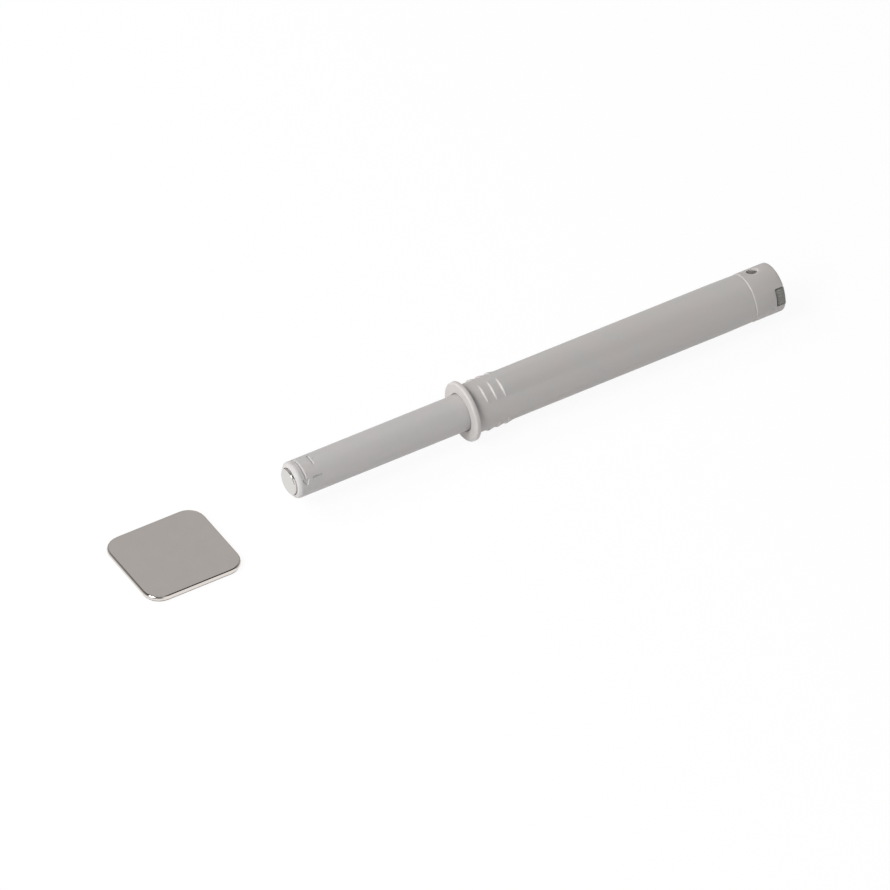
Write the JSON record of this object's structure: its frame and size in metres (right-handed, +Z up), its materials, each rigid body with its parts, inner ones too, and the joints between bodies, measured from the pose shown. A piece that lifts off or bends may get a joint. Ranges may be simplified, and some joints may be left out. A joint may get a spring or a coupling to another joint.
{
  "type": "push to open catch",
  "caption": "Drill-in push to open catch: a sprung plunger with a magnetic tip slides in a flanged, barbed tube, beside a stick-on steel strike plate.",
  "frame": {"origin": "on the catch's axis, at the flange's rear seating face", "axes": "+Y along the catch from the plunger towards the rear cap, +Z up from the surface that the strike plate lies on"},
  "size_m": [0.02, 0.1462, 0.0122],
  "materials": {
    "housing_plastic": "fine moulded satin, warm light grey",
    "plunger_plastic": "fine moulded satin, warm light grey",
    "dark_plastic": "moulded satin, mid grey",
    "spring_steel": "drawn wire",
    "bright_nickel": "polished nickel plate",
    "magnet": "dull plated",
    "satin_nickel": "satin nickel plate with a polished rolled edge",
    "adhesive_foam": "matt adhesive foam"
  },
  "bodies": {
    "root": {"housing": "housing_plastic", "rear_cap": "housing_plastic", "cam_block": "dark_plastic", "return_spring": "spring_steel", "strike_plate": "satin_nickel", "adhesive_pad": "adhesive_foam"},
    "guide": {"guide_ring": "dark_plastic"},
    "push_rod": {"plunger": "plunger_plastic", "pole_disc": "bright_nickel", "magnet": "magnet"},
    "slider": {"carriage": "dark_plastic"},
    "hook": {"latch_hook": "spring_steel"}
  },
  "joints": [
    {"name": "plunge", "type": "slide", "parent": "root", "child": "guide", "axis": [0, 1, 0], "range_m": [0, 0.038], "stiffness_N_per_m": 120, "springref_m": -0.024, "deforming": ["return_spring"]},
    {"name": "turn", "type": "hinge", "parent": "guide", "child": "push_rod", "pos_m": [0, 0, 0], "axis": [0, 1, 0], "range_deg": [0, 300]},
    {"name": "adjust", "type": "slide", "parent": "guide", "child": "slider", "axis": [0, -1, 0], "range_m": [0, 0.0025]},
    {"name": "hook_swing", "type": "hinge", "parent": "slider", "child": "hook", "pos_m": [0, 0.0162, 0], "axis": [0.2672, 0, -0.9636], "range_deg": [0, 16]}
  ],
  "couplings": [
    {"joint": "turn", "follows": "adjust", "rad_per_m": 2094.4}
  ]
}
